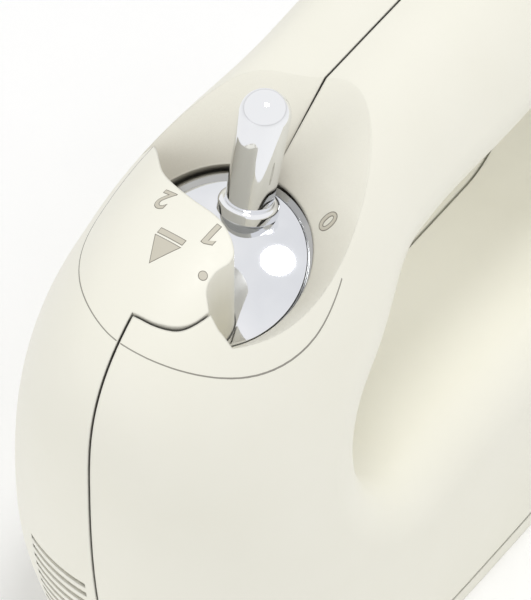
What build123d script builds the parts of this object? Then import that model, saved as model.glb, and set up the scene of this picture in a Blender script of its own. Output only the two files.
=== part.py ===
"""Hand mixer body: two moulded half shells round a motor, a worm gearbox,
a chrome selector lever and a beater ejector.

Frame: X to the user's left, the nose towards -Y, Z up, the flat base on Z = 0.
All sizes are in millimetres.
"""

import os
from math import cos, pi, radians, sin

from build123d import *

os.makedirs("parts", exist_ok=True)

# Housing form
nose_y = -100.0
tail_y = 100.0
nose_length = 58.5
heel_length = 48.0
body_half_width = 44.0
handle_top = 134.0
belly_height = 25.0
keel_height = -25.0
nose_tip_height = 83.0
heel_tip_height = 66.0
upper_squareness = 3.6
lower_squareness = 3.0
nose_upper_squareness = 2.4
nose_lower_squareness = 2.1
nose_round_start_y = -58.0
nose_round_end_y = -14.0
nose_powers = (0.93, 0.64, 0.86, 2.0)
heel_powers = (0.8, 0.6, 0.7, 0.8)
handle_waist = 0.24
waist_start_y = -58.0
waist_end_y = -8.0
waist_low_z = 50.0
waist_high_z = 112.0
section_points = 20
wall = 3.0
seam_gap = 0.6
base_thickness = 3.6
base_gap = 1.0
shell_bottom = base_thickness + base_gap
nose_angles = (9, 18, 28, 40, 53, 67, 80)
middle_shares = (0, 0.18, 0.36, 0.6, 0.82)
heel_angles = (90, 74, 58, 44, 31, 20, 10)

# Finger opening of the handle
opening_front_y = -49.0
opening_back_y = 66.0
opening_low_z = 53.0
opening_high_z = 100.0
opening_slope_z = 82.0
opening_slope_y = -22.0
opening_corner = 18.0
opening_rim = 11.5
opening_wall = 7.5
opening_back_wall = 14.0
back_wall_y = 52.0
back_wall_z = 57.0

# Selector dial, its dish and the island that overhangs it
dial_y = -50.6
dial_z = 111.5
dial_tilt = 25.0
dial_radius = 23.0
dial_crown = 4.0
dial_rim_height = -1.0
dial_underside = -5.5
dial_edge_radius = 3.0
dial_clearance = 0.6
dish_floor = -4.0
pocket_bulge = 0.75
dish_top_z = 136.0
dish_top_y = -53.5
dish_top_radius = 47.0
dish_front_y = -75.2
left_lip = (19.9, 0.3)
right_lip = (24.0, -0.8)

# Plan of the island that overhangs the dial, and of the tongue that carries it over the seam
island_back = [(-24.0, -40.0), (-18.5, -46.0), (-15.0, -49.7), (-8.6, -53.3), (-2.6, -55.2)]
island_tip = [(3.7, -56.5), (7.6, -58.1), (10.8, -60.6), (11.7, -63.1)]
island_notch = [(10.9, -66.0), (10.5, -69.0), (11.0, -71.2), (13.6, -74.2)]
tongue_corner = [(12.2, -77.8), (9.4, -80.8), (5.2, -82.4), (0.0, -82.6)]

# Selector lever
lever_offset = 14.0
lever_radius = 5.3
lever_tip_radius = 5.7
lever_lean = 16.0
lever_length = 22.8
collar_radius = 7.0
collar_height = 2.6
collar_chamfer = 1.0
collar_step = 0.4
lever_sink = 1.0

# Selector shaft, cam and seat
seat_thickness = 3.0
selector_shaft_radius = 5.0
selector_shaft_end = -16.0
cam_top = -11.0
cam_bottom = -15.0
cam_radius = 12.0
cam_notch_radius = 2.5
cam_notches = 4
cam_notch_start = 128.0
cam_notch_span = 208.0
eject_arm_reach = 22.0
eject_arm_width = 7.0
eject_arm_angle = 5.0
switch_width = 14.0
switch_length = 14.0
switch_height = 7.0
switch_corner = 1.5
switch_gap = 1.0
switch_y = -9.0
running_clearance = 0.05

# Motor
motor_z = 27.0
shaft_radius = 2.5
shaft_front_y = -76.0
shaft_back_y = 54.0
stator_front_y = -6.0
stator_length = 26.0
stator_width = 52.0
stator_height = 36.0
stator_corner = 5.0
rotor_radius = 11.0
air_gap = 0.4
slot_count = 12
slot_inset = 2.0
slot_depth = 4.2
slot_width = 1.8
winding_inset = 1.5
winding_clearance = 1.0
coil_width = 7.0
coil_height = 22.0
coil_overhang = 5.0
coil_corner = 2.0
commutator_front_y = 29.0
commutator_length = 11.0
commutator_radius = 8.0
bar_groove_depth = 1.0
bar_groove_width = 0.4
brush_size = 6.0
brush_length = 11.0
brush_wall = 1.4
holder_reach = 24.0
holder_gap = 2.0
bracket_arm = 3.0
fan_y = -24.0
fan_radius = 16.5
fan_hub_radius = 7.0
fan_depth = 9.0
fan_blades = 9
fan_sheet = 1.2
fan_twist = 20.0
worm_front_y = -68.0
worm_length = 28.0
worm_radius = 5.2
worm_chamfer = 1.0
bush_length = 5.0
bush_wall = 2.5
front_bush_y = -73.0
rear_bush_y = 46.0

# Gearbox and beater spindles
spindle_x = 19.0
spindle_y = -54.0
spindle_radius = 6.0
spindle_bottom = 1.0
spindle_top = 44.0
socket_radius = 3.25
socket_depth = 33.0
ejector_hole_radius = 2.0
wheel_height = 10.0
wheel_teeth = 24
wheel_tooth_depth = 1.4
wheel_tooth_share = 1.1
wheel_tooth_angle = 82.0
gear_clearance = 0.3
chassis_thickness = 3.0
chassis_top = base_thickness + chassis_thickness
chassis_width = 56.0
chassis_front_y = -66.0
chassis_back_y = 76.0
chassis_corner = 6.0
toe_width = 48.0
toe_y = -70.0
toe_depth = 8.0
toe_corner = 3.0
stand_width = 18.0
stand_depth = 6.0
cradle_width = 36.0
cradle_inset = 4.0
post_radius = 3.0
post_places = [(-21.0, -70.5), (-26.0, -37.5), (21.0, -70.5), (26.0, -37.5)]
spindle_gap = 1.0
gear_cover_bottom = 38.0
gear_cover_thickness = 4.0
gear_cover_width = 58.0
gear_cover_depth = 40.0
gear_cover_corner = 6.0

# Beater ejector
ejector_plate_z = 54.0
ejector_plate_thickness = 3.0
ejector_plate_depth = 10.0
ejector_plate_width = 46.0
ejector_plate_corner = 3.0
ejector_pin_radius = 1.7
ejector_pin_end = 36.0
ejector_rod_y = -61.0
ejector_rod_radius = 3.0
ejector_rod_top = 89.5
spring_wire = 1.0
spring_radius = 5.0
spring_turns = 5

# Cord inlet, air slots, circuit board and screws
gland_z = 40.0
gland_front_y = 80.0
gland_back_y = 99.0
gland_radius = 7.0
gland_bore = 3.6
gland_flange = 10.0
air_slot_count = 8
air_slot_pitch = 3.3
air_slot_height = 1.4
air_slot_top = 50.4
air_slot_inner_x = -3.0
air_slot_outer_x = -21.0
board_y = 70.0
board_thickness = 1.6
board_width = 44.0
board_height = 34.0
board_components = [(-13, 14, 10, 9, 14), (4, 20, 15, 5, 10), (15, 12, 7, 7, 7)]
screw_places = [(-22.0, -32.0), (-22.0, 58.0), (22.0, -32.0), (22.0, 58.0)]
screw_radius = 1.5
screw_head_radius = 3.0
screw_head_height = 1.8
screw_recess = 0.6
screw_length = 9.0

dial_plane = Plane(
    origin=(0, dial_y, dial_z),
    x_dir=(1, 0, 0),
    z_dir=(0, -sin(radians(dial_tilt)), cos(radians(dial_tilt))),
)
dial_section = Plane(origin=dial_plane.origin, x_dir=dial_plane.x_dir, z_dir=-dial_plane.y_dir)
motor_plane = Plane(origin=(0, 0, motor_z), x_dir=(1, 0, 0), z_dir=(0, 1, 0))


def smooth_step(low, high, value):
    """A soft change from 0 at low to 1 at high."""
    share = min(1.0, max(0.0, (value - low) / (high - low)))
    return share * share * (3 - 2 * share)


def signed_power(value, exponent):
    """A power that keeps the sign, which squares off a round section."""
    return abs(value) ** exponent * (1 if value >= 0 else -1)


def section_sizes(y, inset):
    """Half width, top, bottom and belly height of the housing at one station."""
    nose_end = nose_y + nose_length
    heel_start = tail_y - heel_length
    if y < nose_end:
        along = (nose_end - y) / (nose_length - inset)
        tip, powers = nose_tip_height, nose_powers
    elif y > heel_start:
        along = (y - heel_start) / (heel_length - inset)
        tip, powers = heel_tip_height, heel_powers
    else:
        along = 0.0
        tip, powers = nose_tip_height, (1.0, 1.0, 1.0, 1.0)
    swell = (1 - along * along) ** 0.5
    half_width = (body_half_width - inset) * swell ** powers[0]
    top = tip + (handle_top - inset - tip) * swell ** powers[1]
    bottom = tip - (tip - keel_height - inset) * swell ** powers[2]
    belly = tip - (tip - belly_height) * swell ** powers[3]
    return half_width, top, bottom, belly


def section_outline(y, inset):
    """Points round the egg-shaped section of the housing at one station."""
    half_width, top, bottom, belly = section_sizes(y, inset)
    waist = handle_waist * smooth_step(waist_start_y, waist_end_y, y)
    square = smooth_step(nose_round_start_y, nose_round_end_y, y)
    upper = nose_upper_squareness + (upper_squareness - nose_upper_squareness) * square
    lower = nose_lower_squareness + (lower_squareness - nose_lower_squareness) * square
    points = []
    for step in range(section_points):
        turn = 2 * pi * step / section_points
        rise = cos(turn)
        squareness = upper if rise > -1e-9 else lower
        reach = top - belly if rise >= 0 else belly - bottom
        z = belly + reach * signed_power(rise, 2 / squareness)
        x = half_width * signed_power(sin(turn), 2 / squareness)
        points.append((x * (1 - waist * smooth_step(waist_low_z, waist_high_z, z)), z))
    return points


def housing_form(inset):
    """The whole closed housing, lofted from the nose tip to the heel tip."""
    nose_end = nose_y + nose_length
    heel_start = tail_y - heel_length
    stations = [nose_end - (nose_length - inset) * cos(radians(a)) for a in nose_angles]
    stations += [nose_end + (heel_start - nose_end) * share for share in middle_shares]
    stations += [heel_start + (heel_length - inset) * cos(radians(a)) for a in heel_angles]
    sections = [Vertex(0, nose_y + inset, nose_tip_height)]
    for y in stations:
        with BuildSketch(Plane.XZ.offset(-y)) as section_face:
            with BuildLine():
                Spline(*section_outline(y, inset), periodic=True)
            make_face()
        sections.append(section_face.sketch)
    sections.append(Vertex(0, tail_y - inset, heel_tip_height))
    with BuildPart() as form:
        loft(sections=sections)
    return form.part


def opening_form(growth):
    """The finger opening, straight through along X, grown by a wall."""
    with BuildPart() as form:
        with BuildSketch(Plane.YZ) as outline:
            with BuildLine():
                Polyline(
                    (opening_front_y, opening_low_z),
                    (opening_front_y, opening_slope_z),
                    (opening_slope_y, opening_high_z),
                    (opening_back_y, opening_high_z),
                    (opening_back_y, opening_low_z),
                    close=True,
                )
            make_face()
            fillet(outline.vertices(), opening_corner)
            if growth > 0:
                offset(amount=growth)
        extrude(amount=1.5 * body_half_width, both=True)
    return form.part


def dish_form(lip, growth):
    """The flared dish, from a lip over the dial's rim out past the handle's top."""
    with BuildPart() as form:
        with BuildSketch(dial_plane.offset(lip[1] - growth / 2)):
            Circle(lip[0] + growth)
        with BuildSketch(Plane.XY.offset(dish_top_z)):
            with Locations((0, dish_top_y)):
                Circle(dish_top_radius + growth)
        loft()
    return form.part


def pocket_form(growth):
    """The round pocket for the dial under the shells, domed as the dial is."""
    radius = dial_radius + dial_clearance + growth
    crown = dial_crown + dial_clearance
    rim = dial_rim_height + dial_clearance
    with BuildPart() as form:
        with BuildSketch(dial_section):
            with BuildLine():
                side = Polyline(
                    (0, crown),
                    (0, dish_floor - wall),
                    (radius, dish_floor - wall),
                    (radius, rim),
                )
                ThreePointArc(side @ 1, (radius / 2, rim + (crown - rim) * pocket_bulge), side @ 0)
            make_face()
        revolve(axis=Axis(dial_plane.origin, dial_plane.z_dir))
    return form.part


def tongue_line(gap):
    """The right shell's tongue past the middle plane, grown by a gap."""
    start = (island_back[-1][0], island_back[-1][1] + gap)
    tip = [(x + gap * (x > 5), y + gap * (x < 5)) for x, y in island_tip]
    notch = [(x + gap, y) for x, y in island_notch]
    corner = [(x + gap * (x > 3), y - gap * (x < 11)) for x, y in tongue_corner]
    with BuildLine() as line:
        back = Spline(start, *tip, tangents=((1, -0.25), (0, -1)))
        side = Spline(back @ 1, *notch, tangents=((0, -1), (0.8, -1)))
        front = Spline(side @ 1, *corner, tangents=((-0.3, -1), (-1, 0)))
        Polyline(front @ 1, (start[0], tongue_corner[-1][1] - gap), start)
    return line.line


def tongue_form(gap):
    """The tongue as an upright block through the top of the shells."""
    with BuildPart() as form:
        with BuildSketch(Plane.XY.offset(dial_z - dial_radius)):
            add(tongue_line(gap))
            make_face()
        extrude(amount=2 * dial_radius + wall)
    return form.part


def island_form():
    """All that stands over the dial and isn't dished: the island's upright block."""
    with BuildPart() as form:
        with BuildSketch(Plane.XY.offset(dial_z - dial_radius)):
            with BuildLine():
                back = Spline(*island_back)
                tip = Spline(back @ 1, *island_tip, tangents=((1, -0.25), (0, -1)))
                notch = Spline(tip @ 1, *island_notch, tangents=((0, -1), (0.8, -1)))
                Polyline(
                    notch @ 1,
                    (island_notch[-1][0] + wall, dish_front_y),
                    (2 * body_half_width, dish_front_y),
                    (2 * body_half_width, 2 * nose_y),
                    (-2 * body_half_width, 2 * nose_y),
                    (-2 * body_half_width, island_back[0][1]),
                    back @ 0,
                )
            make_face()
        extrude(amount=2 * dial_radius + wall)
    return form.part


# Housing as one hollow form, before it is split into halves
housing_outer = housing_form(0)
housing_inner = housing_form(wall)
island = island_form()

with BuildPart() as left_dish:
    add(dish_form(left_lip, 0))
    add(island, mode=Mode.SUBTRACT)
    add(pocket_form(0))

with BuildPart() as right_dish:
    add(dish_form(right_lip, 0))
    add(island, mode=Mode.SUBTRACT)
    add(pocket_form(0))

# The wall is thicker behind the opening, where the rim's round meets the narrowing heel
with BuildPart() as back_wall:
    add(opening_form(opening_back_wall))
    split(bisect_by=Plane.XZ.offset(-back_wall_y), keep=Keep.BOTTOM)
    split(bisect_by=Plane.XY.offset(back_wall_z), keep=Keep.TOP)

with BuildPart() as cavity:
    add(housing_inner)
    add(opening_form(opening_wall), mode=Mode.SUBTRACT)
    add(back_wall.part, mode=Mode.SUBTRACT)
    add(dish_form(right_lip, wall), mode=Mode.SUBTRACT)
    add(pocket_form(wall), mode=Mode.SUBTRACT)

with BuildPart() as housing:
    add(housing_outer)
    add(opening_form(0), mode=Mode.SUBTRACT)
    rim_edges = [
        edge
        for edge in housing.edges()
        if abs(edge.center().X) > body_half_width / 3
        and opening_front_y - wall < edge.center().Y < opening_back_y + wall
    ]
    fillet(rim_edges, opening_rim)
    split(bisect_by=Plane.XY.offset(shell_bottom), keep=Keep.TOP)
    add(cavity.part, mode=Mode.SUBTRACT)
    with BuildSketch(Plane.XZ.offset(-gland_front_y)):
        with Locations((0, gland_z)):
            Circle(gland_radius + running_clearance)
    extrude(amount=-(tail_y - gland_front_y), mode=Mode.SUBTRACT)

with BuildPart() as left_housing:
    add(housing.part)
    split(bisect_by=Plane.YZ.offset(seam_gap / 2), keep=Keep.TOP)
    add(tongue_form(seam_gap), mode=Mode.SUBTRACT)
    add(left_dish.part, mode=Mode.SUBTRACT)
left_housing.part.label = "left_housing"

with BuildPart() as tongue:
    add(housing.part)
    add(tongue_form(0), mode=Mode.INTERSECT)

with BuildPart() as right_housing:
    add(housing.part)
    split(bisect_by=Plane.YZ.offset(-seam_gap / 2), keep=Keep.BOTTOM)
    add(tongue.part)
    add(right_dish.part, mode=Mode.SUBTRACT)
    for row in range(air_slot_count):
        slot_center = (
            (air_slot_inner_x + air_slot_outer_x) / 2,
            nose_y,
            air_slot_top - row * air_slot_pitch,
        )
        with Locations(slot_center):
            Box(air_slot_inner_x - air_slot_outer_x, nose_length, air_slot_height, mode=Mode.SUBTRACT)
right_housing.part.label = "right_housing"


# Base cover: follows the shells' lower edge, across a thin dark gap
with BuildPart() as base_cover:
    outline = section(housing_outer, section_by=Plane.XY.offset(base_thickness))
    extrude(outline, amount=base_thickness, dir=(0, 0, -1))
    with Locations((-spindle_x, spindle_y, 0), (spindle_x, spindle_y, 0)):
        Hole(spindle_radius + spindle_gap)
    with Locations(*[(x, y, 0) for x, y in screw_places]):
        Cylinder(
            screw_head_radius + gear_clearance,
            screw_recess + screw_head_height,
            align=(Align.CENTER, Align.CENTER, Align.MIN),
            mode=Mode.SUBTRACT,
        )
        Hole(screw_radius + running_clearance)
base_cover.part.label = "base_cover"

# Chassis: the tray on the base, with the posts, the motor cradle and the front bearing stand
with BuildPart() as chassis:
    with BuildSketch(Plane.XY.offset(base_thickness)):
        with Locations((0, (chassis_back_y + chassis_front_y) / 2)):
            RectangleRounded(chassis_width, chassis_back_y - chassis_front_y, chassis_corner)
        with Locations((0, toe_y)):
            RectangleRounded(toe_width, toe_depth, toe_corner)
        with Locations((0, front_bush_y)):
            Rectangle(stand_width, toe_depth)
    extrude(amount=chassis_thickness)
    with BuildSketch(Plane.XY.offset(chassis_top)):
        with Locations(*post_places):
            Circle(post_radius)
    extrude(amount=gear_cover_bottom - chassis_top)
    with BuildSketch(Plane.XY.offset(chassis_top)):
        with Locations(*screw_places):
            Circle(screw_head_radius)
    extrude(amount=screw_length / 2)
    with BuildSketch(Plane.XY.offset(chassis_top)):
        with Locations((0, stator_front_y + stator_length / 2)):
            Rectangle(cradle_width, stator_length - cradle_inset)
    extrude(amount=motor_z - stator_height / 2 - chassis_top)
    with Locations((0, front_bush_y, chassis_top)):
        Box(
            stand_width,
            stand_depth,
            motor_z - chassis_top + stand_width / 2,
            align=(Align.CENTER, Align.CENTER, Align.MIN),
        )
    with BuildSketch(Plane.XZ.offset(-(front_bush_y + stand_depth / 2))):
        with Locations((0, motor_z)):
            Circle(shaft_radius + bush_wall)
    extrude(amount=stand_depth, mode=Mode.SUBTRACT)
    with Locations((-spindle_x, spindle_y, 0), (spindle_x, spindle_y, 0)):
        Hole(spindle_radius + running_clearance)
    with Locations(*[(x, y, 0) for x, y in screw_places]):
        Hole(screw_radius + running_clearance)
chassis.part.label = "chassis"

# Gear cover: the upper bearing plate over the worm wheels
with BuildPart() as gear_cover:
    with BuildSketch(Plane.XY.offset(gear_cover_bottom)):
        with Locations((0, spindle_y)):
            RectangleRounded(gear_cover_width, gear_cover_depth, gear_cover_corner)
        with Locations((-spindle_x, spindle_y), (spindle_x, spindle_y)):
            Circle(spindle_radius + running_clearance, mode=Mode.SUBTRACT)
    extrude(amount=gear_cover_thickness)
gear_cover.part.label = "gear_cover"

# Stator with its two field coils
with BuildPart() as stator_core:
    with BuildSketch(motor_plane.offset(stator_front_y)):
        RectangleRounded(stator_width, stator_height, stator_corner)
        Circle(rotor_radius + air_gap, mode=Mode.SUBTRACT)
        with Locations((-stator_width / 3, 0), (stator_width / 3, 0)):
            Rectangle(coil_width + air_gap, coil_height + air_gap, mode=Mode.SUBTRACT)
    extrude(amount=stator_length)
stator_core.part.label = "stator_core"

with BuildPart() as field_coils:
    with BuildSketch(motor_plane.offset(stator_front_y - coil_overhang)):
        with Locations((-stator_width / 3, 0), (stator_width / 3, 0)):
            RectangleRounded(coil_width, coil_height, coil_corner)
    extrude(amount=stator_length + 2 * coil_overhang)
field_coils.part.label = "field_coils"

# Armature: shaft, worm, core, windings, commutator and fan
fit_radius = shaft_radius + running_clearance
with BuildPart() as motor_shaft:
    with BuildSketch(motor_plane.offset(shaft_front_y)):
        Circle(shaft_radius)
    extrude(amount=shaft_back_y - shaft_front_y)
motor_shaft.part.label = "motor_shaft"

with BuildPart() as worm:
    with BuildSketch(motor_plane.offset(worm_front_y)):
        Circle(worm_radius)
        Circle(fit_radius, mode=Mode.SUBTRACT)
    extrude(amount=worm_length)
    chamfer(worm.edges().filter_by(GeomType.CIRCLE).group_by(SortBy.RADIUS)[-1], worm_chamfer)
worm.part.label = "worm"

with BuildPart() as rotor_core:
    with BuildSketch(motor_plane.offset(stator_front_y)):
        Circle(rotor_radius)
        with PolarLocations(rotor_radius - slot_inset, slot_count):
            Rectangle(slot_depth, slot_width, mode=Mode.SUBTRACT)
        Circle(fit_radius, mode=Mode.SUBTRACT)
    extrude(amount=stator_length)
rotor_core.part.label = "rotor_core"

with BuildPart() as rotor_windings:
    for start in (stator_front_y - coil_overhang, stator_front_y + stator_length):
        with BuildSketch(motor_plane.offset(start)):
            Circle(rotor_radius - winding_inset)
            Circle(fit_radius + winding_clearance, mode=Mode.SUBTRACT)
        extrude(amount=coil_overhang)
rotor_windings.part.label = "rotor_windings"

with BuildPart() as commutator:
    with BuildSketch(motor_plane.offset(commutator_front_y)):
        Circle(commutator_radius)
        with PolarLocations(commutator_radius, 2 * slot_count):
            Rectangle(bar_groove_depth, bar_groove_width, mode=Mode.SUBTRACT)
        Circle(fit_radius, mode=Mode.SUBTRACT)
    extrude(amount=commutator_length)
commutator.part.label = "commutator"

with BuildPart() as cooling_fan:
    with BuildSketch(motor_plane.offset(fan_y)):
        Circle(fan_radius)
        Circle(fit_radius, mode=Mode.SUBTRACT)
    extrude(amount=fan_sheet)
    with BuildSketch(motor_plane.offset(fan_y)):
        Circle(fan_hub_radius)
        with PolarLocations((fan_hub_radius + fan_radius) / 2, fan_blades):
            Rectangle(fan_radius - fan_hub_radius + 1, fan_sheet, rotation=fan_twist)
        Circle(fit_radius, mode=Mode.SUBTRACT)
    extrude(amount=fan_depth)
cooling_fan.part.label = "cooling_fan"

# Plain bearings and the rear bracket with its brush gear
bushes = {}
for name, y in (("front_bush", front_bush_y), ("rear_bush", rear_bush_y)):
    with BuildPart() as bushes[name]:
        with BuildSketch(motor_plane.offset(y - bush_length / 2)):
            Circle(shaft_radius + bush_wall)
            Circle(shaft_radius + running_clearance, mode=Mode.SUBTRACT)
        extrude(amount=bush_length)
    bushes[name].part.label = name

holder_size = brush_size + 2 * brush_wall
brush_y = commutator_front_y + commutator_length / 2
with BuildPart() as rear_bracket:
    with Locations((0, rear_bush_y, chassis_top)):
        Box(
            2 * (holder_reach + bracket_arm),
            stand_depth,
            motor_z - chassis_top + stator_height / 2,
            align=(Align.CENTER, Align.CENTER, Align.MIN),
        )
    arm_length = rear_bush_y - brush_y + holder_size / 2
    for side in (-1, 1):
        with Locations((side * (holder_reach + bracket_arm / 2), rear_bush_y - arm_length / 2, motor_z)):
            Box(bracket_arm, arm_length, holder_size)
    with BuildSketch(motor_plane.offset(rear_bush_y - stand_depth / 2)):
        Circle(shaft_radius + bush_wall)
    extrude(amount=stand_depth, mode=Mode.SUBTRACT)
rear_bracket.part.label = "rear_bracket"

with BuildPart() as brush_holders:
    for side in (-1, 1):
        inner = commutator_radius + holder_gap
        with Locations((side * (inner + holder_reach) / 2, brush_y, motor_z)):
            Box(holder_reach - inner, holder_size, holder_size)
            Box(holder_reach - inner, brush_size + 2 * running_clearance, brush_size + 2 * running_clearance,
                mode=Mode.SUBTRACT)
brush_holders.part.label = "brush_holders"

with BuildPart() as carbon_brushes:
    for side in (-1, 1):
        with Locations((side * (commutator_radius + gear_clearance + brush_length / 2), brush_y, motor_z)):
            Box(brush_length, brush_size, brush_size)
carbon_brushes.part.label = "carbon_brushes"

# Beater spindles with their worm wheels
wheel_radius = spindle_x - worm_radius - gear_clearance
tooth_width = pi * wheel_radius / wheel_teeth * wheel_tooth_share
spindles = {}
wheels = {}
for side_name, side in (("left", 1), ("right", -1)):
    with BuildPart() as spindles[side_name]:
        with Locations((side * spindle_x, spindle_y, spindle_bottom)):
            Cylinder(
                spindle_radius,
                spindle_top - spindle_bottom,
                align=(Align.CENTER, Align.CENTER, Align.MIN),
            )
            Cylinder(
                socket_radius,
                socket_depth,
                align=(Align.CENTER, Align.CENTER, Align.MIN),
                mode=Mode.SUBTRACT,
            )
            Hole(ejector_hole_radius)
    spindles[side_name].part.label = side_name + "_spindle"

    with BuildPart() as wheels[side_name]:
        with BuildSketch(Plane.XY.offset(motor_z - wheel_height / 2)):
            with Locations((side * spindle_x, spindle_y)):
                Circle(wheel_radius - wheel_tooth_depth)
                with PolarLocations(wheel_radius - wheel_tooth_depth, wheel_teeth):
                    Trapezoid(tooth_width, 2 * wheel_tooth_depth, wheel_tooth_angle, rotation=-90)
                Circle(spindle_radius + running_clearance, mode=Mode.SUBTRACT)
        extrude(amount=wheel_height)
    wheels[side_name].part.label = side_name + "_worm_wheel"

# Ejector: plate, two pins that reach into the spindles, and the push rod
with BuildPart() as ejector:
    with BuildSketch(Plane.XY.offset(ejector_plate_z)):
        with Locations((0, (spindle_y + ejector_rod_y) / 2)):
            RectangleRounded(ejector_plate_width, ejector_plate_depth, ejector_plate_corner)
    extrude(amount=ejector_plate_thickness)
    with BuildSketch(Plane.XY.offset(ejector_pin_end)):
        with Locations((-spindle_x, spindle_y), (spindle_x, spindle_y)):
            Circle(ejector_pin_radius)
    extrude(amount=ejector_plate_z - ejector_pin_end)
    with BuildSketch(Plane.XY.offset(ejector_plate_z)):
        with Locations((0, ejector_rod_y)):
            Circle(ejector_rod_radius)
    extrude(amount=ejector_rod_top - ejector_plate_z)
ejector.part.label = "ejector"

spring_low = gear_cover_bottom + gear_cover_thickness + spring_wire / 2
spring_height = ejector_plate_z - spring_low - spring_wire / 2 - gear_clearance
with BuildPart() as ejector_spring:
    with BuildLine():
        coil = Helix(
            spring_height / spring_turns,
            spring_height,
            spring_radius,
            center=(0, spindle_y, spring_low + gear_clearance / 2),
        )
    with BuildSketch(Plane(origin=coil @ 0, z_dir=coil % 0)):
        Circle(spring_wire / 2)
    sweep(is_frenet=True)
ejector_spring.part.label = "ejector_spring"

# Selector: dial, lever, shaft with cam, and the seat that carries them
dome_radius = (dial_radius**2 + (dial_crown - dial_rim_height) ** 2) / (2 * (dial_crown - dial_rim_height))
dome_mid_height = dial_crown - dome_radius + (dome_radius**2 - dial_radius**2 / 4) ** 0.5
with BuildPart() as selector_dial:
    with BuildSketch(dial_section) as profile:
        with BuildLine():
            edge = Polyline(
                (0, dial_crown),
                (0, dial_underside),
                (dial_radius, dial_underside),
                (dial_radius, dial_rim_height),
            )
            ThreePointArc(edge @ 1, (dial_radius / 2, dome_mid_height), edge @ 0)
        make_face()
        fillet(profile.vertices().group_by(Axis.X)[-1].sort_by(Axis.Y)[-1], dial_edge_radius)
    revolve(axis=Axis(dial_plane.origin, dial_plane.z_dir))
selector_dial.part.label = "selector_dial"

lever_foot = dial_plane.from_local_coords((0, lever_offset, dial_crown - lever_sink))
lever_plane = Plane(
    origin=lever_foot,
    x_dir=(1, 0, 0),
    z_dir=(0, sin(radians(lever_lean)), cos(radians(lever_lean))),
)
with BuildPart() as selector_lever:
    with BuildSketch(Plane(origin=lever_plane.origin, x_dir=lever_plane.x_dir, z_dir=-lever_plane.y_dir)):
        with BuildLine():
            foot = Polyline(
                (0, -2 * collar_height),
                (collar_radius, -2 * collar_height),
                (collar_radius, collar_height - collar_chamfer),
                (lever_radius + collar_step, collar_height),
                (lever_radius, collar_height),
                (lever_tip_radius, lever_length),
            )
            tip = ThreePointArc(
                foot @ 1,
                (lever_tip_radius * cos(radians(45)), lever_length + lever_tip_radius * sin(radians(45))),
                (0, lever_length + lever_tip_radius),
            )
            Line(tip @ 1, foot @ 0)
        make_face()
    revolve(axis=Axis(lever_plane.origin, lever_plane.z_dir))
    with BuildSketch(dial_plane.offset(dial_underside)):
        Circle(2 * dial_radius)
    extrude(amount=-dial_radius, mode=Mode.SUBTRACT)
    add(selector_dial.part, mode=Mode.SUBTRACT)
selector_lever.part.label = "selector_lever"

with BuildPart() as selector_shaft:
    with BuildSketch(dial_plane.offset(selector_shaft_end)):
        Circle(selector_shaft_radius)
    extrude(amount=dial_underside - selector_shaft_end)
    with BuildSketch(dial_plane.offset(cam_bottom)):
        Circle(cam_radius)
        with PolarLocations(cam_radius, cam_notches, cam_notch_start, cam_notch_span):
            Circle(cam_notch_radius, mode=Mode.SUBTRACT)
        with PolarLocations(eject_arm_reach / 2, 1, start_angle=eject_arm_angle):
            SlotOverall(eject_arm_reach, eject_arm_width)
    extrude(amount=cam_top - cam_bottom)
selector_shaft.part.label = "selector_shaft"

seat_top = dish_floor - wall
with BuildPart() as dial_seat:
    with BuildSketch(dial_plane.offset(seat_top - seat_thickness)):
        Circle(dial_radius + dial_clearance + wall - gear_clearance)
        Circle(selector_shaft_radius + running_clearance, mode=Mode.SUBTRACT)
    extrude(amount=seat_thickness)
dial_seat.part.label = "dial_seat"

with BuildPart() as switch_block:
    with BuildSketch(dial_plane.offset(seat_top - seat_thickness - switch_height)):
        with Locations((-cam_radius - switch_gap - switch_width / 2, switch_y)):
            RectangleRounded(switch_width, switch_length, switch_corner)
    extrude(amount=switch_height)
switch_block.part.label = "switch_block"

# Circuit board on the chassis, cord inlet in the heel, and the base screws
with BuildPart() as circuit_board:
    with Locations((0, board_y, chassis_top)):
        Box(board_width, board_thickness, board_height, align=(Align.CENTER, Align.CENTER, Align.MIN))
    for x, z, width, depth, height in board_components:
        with Locations((x, board_y + (board_thickness + depth) / 2, chassis_top + z)):
            Box(width, depth, height)
circuit_board.part.label = "circuit_board"

with BuildPart() as cord_gland:
    with BuildSketch(Plane.XZ.offset(-gland_front_y)):
        with Locations((0, gland_z)):
            Circle(gland_radius)
    extrude(amount=gland_front_y - gland_back_y)
    with BuildSketch(Plane.XZ.offset(-gland_front_y)):
        with Locations((0, gland_z)):
            Circle(gland_flange)
    extrude(amount=-wall)
    with BuildSketch(Plane.XZ.offset(-gland_front_y)):
        with Locations((0, gland_z)):
            Circle(gland_bore)
    extrude(amount=gland_front_y - gland_back_y, mode=Mode.SUBTRACT)
cord_gland.part.label = "cord_gland"

with BuildPart() as base_screws:
    with Locations(*[(x, y, screw_recess) for x, y in screw_places]):
        Cylinder(screw_head_radius, screw_head_height, align=(Align.CENTER, Align.CENTER, Align.MIN))
        Cylinder(screw_radius, screw_length, align=(Align.CENTER, Align.CENTER, Align.MIN))
base_screws.part.label = "base_screws"

pieces = [
    left_housing, right_housing, base_cover, chassis, gear_cover, stator_core, field_coils,
    motor_shaft, worm, rotor_core, rotor_windings, commutator, cooling_fan, *bushes.values(),
    rear_bracket, brush_holders, carbon_brushes, *spindles.values(), *wheels.values(),
    ejector, ejector_spring, selector_dial, selector_lever, selector_shaft, dial_seat,
    switch_block, circuit_board, cord_gland, base_screws,
]
for piece in pieces:
    export_step(piece.part, f"parts/{piece.part.label}.step")
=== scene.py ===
"""Hand mixer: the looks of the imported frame, with its studio and camera."""

import logging
import math
from dataclasses import dataclass, field
from enum import Enum

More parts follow.
